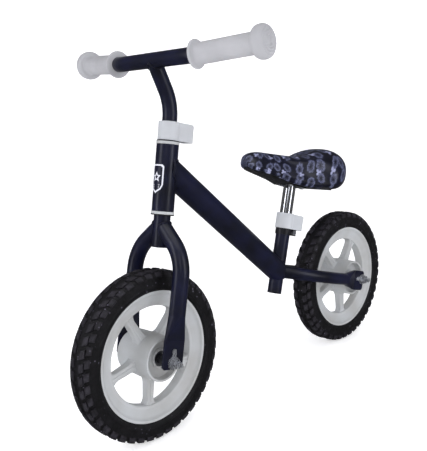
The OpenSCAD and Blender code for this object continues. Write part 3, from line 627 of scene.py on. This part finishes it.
def gripMesh(name):
    s = gripSizes
    knobFoot = s["length"] + s["over"] - s["knobLong"]
    top = s["length"] + s["over"]
    f, t, b, k = s["flange"], s["flangeThick"], s["body"], s["knob"]
    rows = [(s["bore"], 0.3), (f - 2.2, 0.0), (f - 0.7, 0.5), (f, t / 2), (f - 0.5, t - 0.7),
            (f - 1.8, t - 0.1), (b + 2.4, t + 0.1), (b + 1.0, t + 0.9), (b + 0.2, t + 2.4)]
    bodyRows = [(b, t + 5 + (knobFoot - t - 9) * i / 10) for i in range(11)]
    knobRows = smoothLine([(b + 0.4, knobFoot - 2.0, 0), (b + 2.2, knobFoot, 0), (b + 5.5, knobFoot + 1.4, 0),
                           (k - 0.8, knobFoot + 5.5, 0), (k, knobFoot + 11, 0), (k - 0.9, knobFoot + 16.5, 0),
                           (k - 3.6, knobFoot + 20.5, 0), (k - 7.5, top - 1.0, 0)], 4)
    faceCount = 32
    faceRows = []
    for i in range(1, faceCount + 1):
        left = 1 - i / faceCount
        faceRows.append(((k - 7.5) * left, top - 1.0 + 1.0 * (1 - left ** 2)))
    rows += bodyRows + [(p.x, p.y) for p in knobRows]
    bm = bmesh.new()
    count = 112
    rings = spunGrid(bm, [(r * mm, z * mm) for r, z in rows], count, Matrix.Identity(4))
    face = spunGrid(bm, [(max(r, 0) * mm, z * mm) for r, z in faceRows], count, Matrix.Identity(4))
    joinRings(bm, [rings[-1], face[0]])
    for ring, (radius, along) in zip(rings, rows):
        if t + 4 < along < knobFoot - 3:
            for v in ring:
                angle = math.atan2(v.co.y, v.co.x)
                scale = 1 + 0.014 * max(0.0, math.cos(angle * s["ribs"]))
                v.co.x, v.co.y = v.co.x * scale, v.co.y * scale
    for ring in rings[-6:] + face:
        for v in ring:
            away = math.hypot(v.co.x, v.co.y) / mm
            fade = max(0.0, min(1.0, (s["ringsOut"] - away) / 4.0))
            groove = (1 - abs(math.cos(math.pi * away / s["ridgeGap"]))) ** 1.2
            v.co.z -= s["ringDeep"] * groove * fade * mm
    spunGrid(bm, [(s["bore"] * mm, 0.3 * mm), (s["bore"] * mm, 20 * mm)], count, Matrix.Identity(4))
    bmesh.ops.remove_doubles(bm, verts=bm.verts, dist=1e-6)
    return meshFrom(bm, name, sharpAngle=50)


def mirrored(mesh):
    copy = mesh.copy()
    copy.transform(Matrix.Scale(-1, 4, (0, 1, 0)))
    copy.flip_normals()
    return copy


leftGrip = gripMesh("leftRibbedGrip")
leftGrip.transform(gripMatrix())
rightGrip = mirrored(leftGrip)
makePiece("leftRibbedGrip", leftGrip, gripPlastic, "handlebar", ["left_grip"])
makePiece("rightRibbedGrip", rightGrip, gripPlastic, "handlebar", ["right_grip"])
print("grips ready")


# outlines of the seat in mm: x runs forward from the post, then height over the pan, or half width
seatTop = [(-131, 60), (-124, 79), (-103, 91), (-75, 92), (-45, 82), (-14, 67.5), (30, 56.5), (80, 49.5),
           (120, 45), (146, 34), (152, 20)]
seatFoot = [(-131, 60), (-124, 38), (-103, 17), (-71, 5), (-28, 0.5), (19, 1), (60, 6), (100, 8), (140, 9),
            (152, 20)]
seatPlan = [(-131, 0), (-129, 22), (-124, 44), (-110, 60), (-85, 69), (-55, 67), (-25, 58), (5, 46), (35, 34),
            (65, 25), (100, 21), (128, 19), (145, 13), (150, 7), (152, 0)]


def readLine(points):
    line = smoothLine([(x, y, 0) for x, y in points], 12)

    def at(x):
        for a, b in zip(line, line[1:]):
            if a.x <= x <= b.x and b.x > a.x:
                return a.y + (b.y - a.y) * (x - a.x) / (b.x - a.x)
        return line[0].y if x < line[0].x else line[-1].y
    return at


topAt, footAt, halfAt = readLine(seatTop), readLine(seatFoot), readLine(seatPlan)
tail, nose = seatPlan[0][0], seatPlan[-1][0]
stretchLong = seatSizes["length"] / (nose - tail)


def cushionPoint(x, turn, inset):
    # point on the padded form; turn runs from the crown, down the left flank and round underneath
    top, foot, half = topAt(x), footAt(x), halfAt(x)
    middle = foot + 0.27 * (top - foot)
    s, c = math.sin(turn), math.cos(turn)
    across = max(half - inset, 0.05) * math.copysign(abs(s) ** 0.8, s)
    if c >= 0:
        height = middle + max(top - middle - inset, 0.05) * c ** 0.84
    else:
        height = middle - max(middle - foot - inset * 0.5, 0.05) * abs(c) ** 0.4
        reach = min(1.0, (half - inset) / 30)
        hang = math.sin(math.pi * max(0.0, min(1.0, (abs(s) - 0.56) / 0.44)))
        height -= (seatSizes["rim"] * hang - 2.5 * max(0.0, 0.6 - abs(s)) / 0.6) * reach
    return Vector((x * stretchLong, across, height)) * mm


def cushionMesh():
    long, around = 76, 72
    bm = bmesh.new()
    rings = []
    for i in range(long + 1):
        x = tail + (nose - tail) * (1 - math.cos(math.pi * i / long)) / 2
        if i in (0, long):
            rings.append([bm.verts.new(Vector((x * stretchLong, 0, topAt(x))) * mm)])
            continue
        ring = []
        for k in range(around):
            ring.append(bm.verts.new(cushionPoint(x, 2 * math.pi * k / around, seatSizes["inset"])))
        rings.append(ring)
    joinRings(bm, rings)
    bmesh.ops.recalc_face_normals(bm, faces=bm.faces)
    mesh = bpy.data.meshes.new("printedCushion")
    bm.to_mesh(mesh)
    bm.free()
    mesh.shade_smooth()
    return mesh


def printLayout(mesh):
    # the print is laid over the form from its middle line, so its motifs keep their size down the flanks
    layer = mesh.uv_layers.new(name="print")
    for loop in mesh.loops:
        p = mesh.vertices[loop.vertex_index].co
        x = p.x / mm
        middle = footAt(x) + 0.1 * (topAt(x) - footAt(x))
        rise = max(p.z / mm - middle, -8.0)
        turn = math.atan2(p.y / mm, max(rise, 0.1) + 12)
        layer.data[loop.index].uv = (p.x, turn * 62 * mm)


clothSizes = {"quality": 6, "mass": 0.25, "stretch": 12, "bending": 1.2, "pressure": 4, "frames": 20,
              "glued": 6 * mm}


def inflate(piece):
    # a short cloth run under pressure, with the glued foot held, gives the vinyl its stuffed swell
    mesh = piece.data
    start = [v.co.copy() for v in mesh.vertices]
    held = piece.vertex_groups.new(name="glued")
    for v in mesh.vertices:
        low = footAt(v.co.x / mm) * mm
        if v.co.z < low + clothSizes["glued"]:
            held.add([v.index], 1.0, "REPLACE")
    cloth = piece.modifiers.new("stuffing", "CLOTH")
    cloth.settings.quality = clothSizes["quality"]
    cloth.settings.mass = clothSizes["mass"]
    cloth.settings.tension_stiffness = clothSizes["stretch"]
    cloth.settings.compression_stiffness = clothSizes["stretch"]
    cloth.settings.bending_stiffness = clothSizes["bending"]
    cloth.settings.vertex_group_mass = "glued"
    cloth.settings.use_pressure = True
    cloth.settings.uniform_pressure_force = clothSizes["pressure"]
    cloth.settings.effector_weights.gravity = 0
    cloth.point_cache.frame_start = 1
    cloth.point_cache.frame_end = clothSizes["frames"]
    for step in range(1, clothSizes["frames"] + 1):
        bpy.context.scene.frame_set(step)
    settled = piece.evaluated_get(bpy.context.evaluated_depsgraph_get())
    moved = [v.co.copy() for v in settled.to_mesh().vertices]
    settled.to_mesh_clear()
    piece.modifiers.remove(cloth)
    piece.vertex_groups.clear()
    bpy.context.scene.frame_set(1)
    for v, a, b in zip(mesh.vertices, start, moved):
        step = b - a
        v.co = a + step * min(1.0, seatSizes["puff"] / max(step.length, 1e-9))


cushion = bpy.data.objects.new("printedCushion", cushionMesh())
bpy.context.scene.collection.objects.link(cushion)
inflate(cushion)
printLayout(cushion.data)
cushion.data.transform(seatPlace)
cushion.data.materials.append(vinyl)
fine = cushion.modifiers.new("soften", "SUBSURF")
fine.levels = fine.render_levels = 1
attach(cushion, "seat")
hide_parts("seat_cushion")
print("cushion ready")


def bevelledCopy(node, name, material, body, width, angle=30, segments=3):
    # clean copy of a CAD part with its edges softened
    mesh = nodes[node].data.copy()
    mesh.name = name
    bm = bmesh.new()
    bm.from_mesh(mesh)
    bmesh.ops.remove_doubles(bm, verts=bm.verts, dist=1e-5)
    bmesh.ops.dissolve_limit(bm, angle_limit=math.radians(1.5), verts=bm.verts, edges=bm.edges)
    bmesh.ops.triangulate(bm, faces=[f for f in bm.faces if len(f.verts) > 4])  # a plate keeps its hole open
    mesh = meshFrom(bm, name, sharpAngle=angle)
    piece = makePiece(name, mesh, material, body, [node])
    bevel = piece.modifiers.new("softEdges", "BEVEL")
    bevel.width = width * mm
    bevel.segments = segments
    bevel.limit_method = "ANGLE"
    bevel.angle_limit = math.radians(angle)
    bevel.harden_normals = False
    return piece


panShell = bevelledCopy("seat_pan", "seatPanShell", blackPlastic, "seat", 1.4)
for v in panShell.data.vertices:
    inSeat = seatPlace.inverted() @ v.co
    if inSeat.z < -0.5 * mm:  # the keel draws in below the plate
        inSeat.y *= seatSizes["keelWide"]
        inSeat.x -= seatSizes["keelBack"]
        v.co = seatPlace @ inSeat
bevelledCopy("bar_clamp_cover", "barCoverShell", coverPlastic, "fork", 1.2)
bevelledCopy("seat_clamp_cover", "seatCoverShell", coverPlastic, "frame", 1.2)
print("covers ready")


weldSizes = {"step": 2.0, "bead": 2.0, "proud": 0.9, "legSide": 7.0}


def meetLine(lineA, radiusA, lineB, radiusB, towards, count=96):
    # where the surface of tube B runs into tube A; lines are (point, direction)
    pointA, dirA = lineA
    pointB, dirB = lineB
    dirA, dirB = dirA.normalized(), dirB.normalized()
    sideways = dirB.orthogonal().normalized()
    upward = dirB.cross(sideways)
    out = []
    for i in range(count):
        a = 2 * math.pi * i / count
        q = pointB + radiusB * (math.cos(a) * sideways + math.sin(a) * upward) - pointA
        flatQ = q - q.dot(dirA) * dirA
        flatD = dirB - dirB.dot(dirA) * dirA
        k2, k1, k0 = flatD.dot(flatD), 2 * flatQ.dot(flatD), flatQ.dot(flatQ) - radiusA ** 2
        root = math.sqrt(max(k1 ** 2 - 4 * k2 * k0, 0))
        t = (-k1 + towards * root) / (2 * k2)
        out.append(pointA + q + t * dirB)
    return out


def weldTree():
    tree, given = newTree("weldBead", [("Step", "NodeSocketFloat", 0.002), ("Bead", "NodeSocketFloat", 0.002),
                                       ("Finish", "NodeSocketMaterial", None)])
    path = addNode(tree, "GeometryNodeMeshToCurve", links={"Mesh": given["Geometry"]})
    spaced = addNode(tree, "GeometryNodeResampleCurve", {"mode": "LENGTH"},
                     {"Curve": path.outputs["Curve"], "Length": given["Step"]})
    drop = addNode(tree, "GeometryNodeMeshUVSphere", {"Segments": 10, "Rings": 6}, {"Radius": given["Bead"]})
    smooth = addNode(tree, "GeometryNodeSetShadeSmooth", links={0: drop.outputs["Mesh"]})
    size = addNode(tree, "FunctionNodeRandomValue", {"data_type": "FLOAT"})
    size.inputs[2].default_value = 0.9
    size.inputs[3].default_value = 1.1
    size.inputs["Seed"].default_value = 4
    copies = addNode(tree, "GeometryNodeInstanceOnPoints",
                     links={"Points": spaced.outputs["Curve"], "Instance": smooth.outputs[0],
                            "Scale": size.outputs[1]})
    closeTree(tree, given, copies.outputs["Instances"])
    return tree


def loopMesh(points):
    mesh = bpy.data.meshes.new("weldPath")
    count = len(points)
    mesh.from_pydata([tuple(p) for p in points], [(i, (i + 1) % count) for i in range(count)], [])
    return mesh


def axisLine(matrix):
    return matrix.translation.copy(), matrix.to_3x3() @ Vector((0, 0, 1))


def weld(name, points, body):
    mesh = grown(loopMesh(points), weldTree(),
                 {"Step": weldSizes["step"] * mm, "Bead": weldSizes["bead"] * mm, "Finish": framePaint})
    return makePiece(name, mesh, framePaint, body, ())


tubeSizes = {"head": 18.97, "steerer": 14.3, "stem": 12.7, "main": 22.25, "stay": 12.7, "leg": 14.0,
             "across": 59.5, "stemLean": 35.0}
legSizes = {"crown": 200.0, "straight": 140.0, "bendRadius": 70.0, "bend": 50.0}
staySizes = {"drop": 3.5, "lean": -16.75, "straight": 83.0, "meets": 15.5, "bend": 40.0}
mainSizes = {"lowAhead": 218.35, "lowAbove": 62.5, "highBehind": 72.2, "highAbove": 310.8}

outwards = Matrix.Translation((0, tubeSizes["across"] * mm, 0))
legLean = math.degrees(math.atan(steeringSizes["rake"] / mm / legSizes["crown"]))  # it makes up the rake
legPlace = (leaning(frontAxle, steeringSizes["headAngle"] - 90 - legLean) @ outwards
            @ Matrix.Rotation(math.radians(-90), 4, "Z")
            @ bentEnd(legSizes["straight"], legSizes["bendRadius"], legSizes["bend"]))
stayBendRadius = (tubeSizes["across"] - staySizes["meets"]) / (1 - math.cos(math.radians(staySizes["bend"])))
stayPlace = (leaning(rearAxle - Vector((0, 0, staySizes["drop"] * mm)), staySizes["lean"])
             @ outwards @ acrossWheel @ Matrix.Rotation(math.radians(90), 4, "Y")
             @ bentEnd(staySizes["straight"], stayBendRadius, staySizes["bend"]))
mainLow = rearAxle + Vector((mainSizes["lowAhead"], 0, mainSizes["lowAbove"])) * mm
mainHigh = frontAxle + Vector((-mainSizes["highBehind"], 0, mainSizes["highAbove"])) * mm
mainLine = (mainLow, mainHigh - mainLow)
barLine = axisLine(barMatrix())
stemTop = steeringAxis @ Vector((gripSizes["barAhead"] * mm, 0, gripSizes["barAlong"] * mm))
stemTurn = math.radians(tubeSizes["stemLean"])
stemDirection = steeringAxis.to_3x3() @ Vector((math.sin(stemTurn), 0, math.cos(stemTurn)))


def mirroredPoints(points):
    return [Vector((p.x, -p.y, p.z)) for p in points]


beadRun = (tubeSizes["steerer"] + weldSizes["proud"]) * mm  # the bead stays out of the tube it runs round
legWeld = meetLine(axisLine(steeringAxis), beadRun, axisLine(legPlace), tubeSizes["leg"] * mm, -1)
legWeld = [p for p in legWeld if p.y > weldSizes["legSide"] * mm]
stayWeld = meetLine(axisLine(seatTubeAxis), beadRun, axisLine(stayPlace), tubeSizes["stay"] * mm, -1)
weld("leftLegWeld", legWeld, "fork")
weld("rightLegWeld", mirroredPoints(legWeld), "fork")
weld("leftStayWeld", stayWeld, "frame")
weld("rightStayWeld", mirroredPoints(stayWeld), "frame")
headWeld = meetLine(axisLine(steeringAxis), tubeSizes["head"] * mm, mainLine, tubeSizes["main"] * mm, -1)
weld("headWeld", headWeld, "frame")
stemRadius = tubeSizes["stem"] * mm
weld("barWeld", meetLine(barLine, stemRadius, (stemTop, stemDirection), stemRadius, -1), "handlebar")
print("welds ready")


badgeSizes = {"foot": 30.0, "high": 48.0, "wide": 27.0, "line": 2.4, "radius": 19.35, "thick": 0.3,
              "starAt": 27.0, "starOuter": 9.0, "starInner": 4.2}


def badgeOutline(grow):
    # rounded shield: square top, pointed foot
    s = badgeSizes
    w, h = s["wide"] / 2 - grow, s["high"]
    low = 7 + grow * 0.7
    points = [(-w, h - 3 - grow), (-w + 3, h - grow), (w - 3, h - grow), (w, h - 3 - grow), (w, 14),
              (w * 0.75, low), (0, grow * 1.3), (-w * 0.75, low), (-w, 14)]
    out = []
    for (ax, ay), (bx, by) in zip(points, points[1:] + points[:1]):
        for k in range(6):
            out.append((ax + (bx - ax) * k / 6, ay + (by - ay) * k / 6))
    return out


def starOutline(cx, cy, outer, inner, count):
    out = []
    for i in range(2 * count):
        a = math.pi * i / count + math.pi / 2
        r = outer if i % 2 == 0 else inner
        out.append((cx + r * math.cos(a), cy + r * math.sin(a)))
    return out


def onHeadTube(u, v, lift):
    s = badgeSizes
    angle = u / s["radius"]
    radius = (s["radius"] + lift) * mm
    along = steeringSizes["headFoot"] + (s["foot"] + v) * mm
    return steeringAxis @ Vector((radius * math.cos(angle), radius * math.sin(angle), along))


def badgeMesh():
    s = badgeSizes
    bm = bmesh.new()

    def band(outer, inner):
        for lift, flip in ((s["thick"], False), (-0.35, True)):
            a = [bm.verts.new(onHeadTube(u, v, lift)) for u, v in outer]
            b = [bm.verts.new(onHeadTube(u, v, lift)) for u, v in inner]
            joinRings(bm, [a, b])
            if flip:
                joinRings(bm, [low[0], a])
                joinRings(bm, [low[1], b])
            low = (a, b)

    band(badgeOutline(0), badgeOutline(s["line"]))
    star = starOutline(0, s["starAt"], s["starOuter"], s["starInner"], 5)
    band(star, [(u * 0.55, s["starAt"] + (v - s["starAt"]) * 0.55) for u, v in star])
    for foot in (9.5, 13.0):
        bar = [(-7, foot), (7, foot), (7, foot + 1.6), (-7, foot + 1.6)]
        core = [(-6.6, foot + 0.4), (6.6, foot + 0.4), (6.6, foot + 1.2), (-6.6, foot + 1.2)]
        band(bar, core)
    return meshFrom(bm, "shieldBadge", sharpAngle=30)


makePiece("shieldBadge", badgeMesh(), badgeFilm, "frame", ["head_badge"])
print("badge ready")


# the paper's (radius, height) in metres from the middle of the floor, and its own glow
stageSizes = {"paper": [(0, 0), (2.6, 0), (3.2, 0.0), (3.8, 0.12), (4.3, 0.5), (4.6, 1.1), (4.7, 2.0),
                        (4.7, 4.2)],
              "glow": 0.46, "air": 0.1}


def paperSweep():
    # seamless studio paper: floor curving up behind the bicycle
    material, tree, shader, place = startFinish("studioPaper", "#fbfbfc", 0.9)
    tree.links.new(blendColours(tree, noiseAt(tree, place, 400), "#fafafc", "#fdfdfd"),
                   shader.inputs["Base Color"])
    shader.inputs["Emission Color"].default_value = linearColour("#ffffff")
    shader.inputs["Emission Strength"].default_value = stageSizes["glow"]
    bm = bmesh.new()
    spunGrid(bm, stageSizes["paper"], 64, Matrix.Identity(4))
    mesh = meshFrom(bm, "studioPaper")
    mesh.flip_normals()
    sweep = bpy.data.objects.new("studioPaper", mesh)
    mesh.materials.append(material)
    bpy.context.scene.collection.objects.link(sweep)
    sweep.visible_glossy = False  # the paper lights the bicycle, and only the lamps show in its gloss


def softbox(name, place, aim, wide, high, power, colour="#ffffff"):
    light = bpy.data.lights.new(name, "AREA")
    light.shape = "RECTANGLE"
    light.size, light.size_y = wide, high
    light.energy = power
    light.color = linearColour(colour)[:3]
    holder = bpy.data.objects.new(name, light)
    holder.location = place
    holder.rotation_mode = "QUATERNION"
    holder.rotation_quaternion = (Vector(aim) - Vector(place)).to_track_quat("-Z", "Y")
    bpy.context.scene.collection.objects.link(holder)


paperSweep()
bicycleMiddle = (0, 0, 0.35)
softbox("topSoftbox", (0.3, 0.3, 2.4), (0, 0, 0.3), 2.2, 1.8, 17)
softbox("leftStrip", (1.9, -0.6, 1.1), bicycleMiddle, 0.35, 1.8, 9, "#f6f7ff")
softbox("rightStrip", (-0.3, 2.1, 1.0), bicycleMiddle, 0.45, 1.8, 11, "#f6f7ff")
softbox("frontSoftbox", (1.9, 1.5, 1.7), bicycleMiddle, 0.9, 0.9, 4, "#f6f8ff")
world = bpy.data.worlds.new("studioAir")
world.use_nodes = True
world.node_tree.nodes["Background"].inputs["Color"].default_value = linearColour("#f4f4f6")
world.node_tree.nodes["Background"].inputs["Strength"].default_value = stageSizes["air"]
bpy.context.scene.world = world
bpy.context.scene.view_settings.view_transform = "Standard"

cameraSizes = {"place": (0.9370, 0.8333, 0.5709), "right": (-0.6986, 0.7124, -0.0665),
               "back": (0.6914, 0.6961, 0.1934), "lens": 52.1}
rightWay = Vector(cameraSizes["right"]).normalized()
backWay = Vector(cameraSizes["back"]).normalized()
upWay = backWay.cross(rightWay)
cameraData = bpy.data.cameras.new("studioCamera")
cameraData.lens = cameraSizes["lens"]
cameraData.sensor_width = 36
camera = bpy.data.objects.new("studioCamera", cameraData)
bpy.context.scene.collection.objects.link(camera)
cameraTurn = Matrix((rightWay, upWay, backWay)).transposed().to_4x4()
camera.matrix_world = Matrix.Translation(cameraSizes["place"]) @ cameraTurn
bpy.context.scene.camera = camera
print("stage ready")
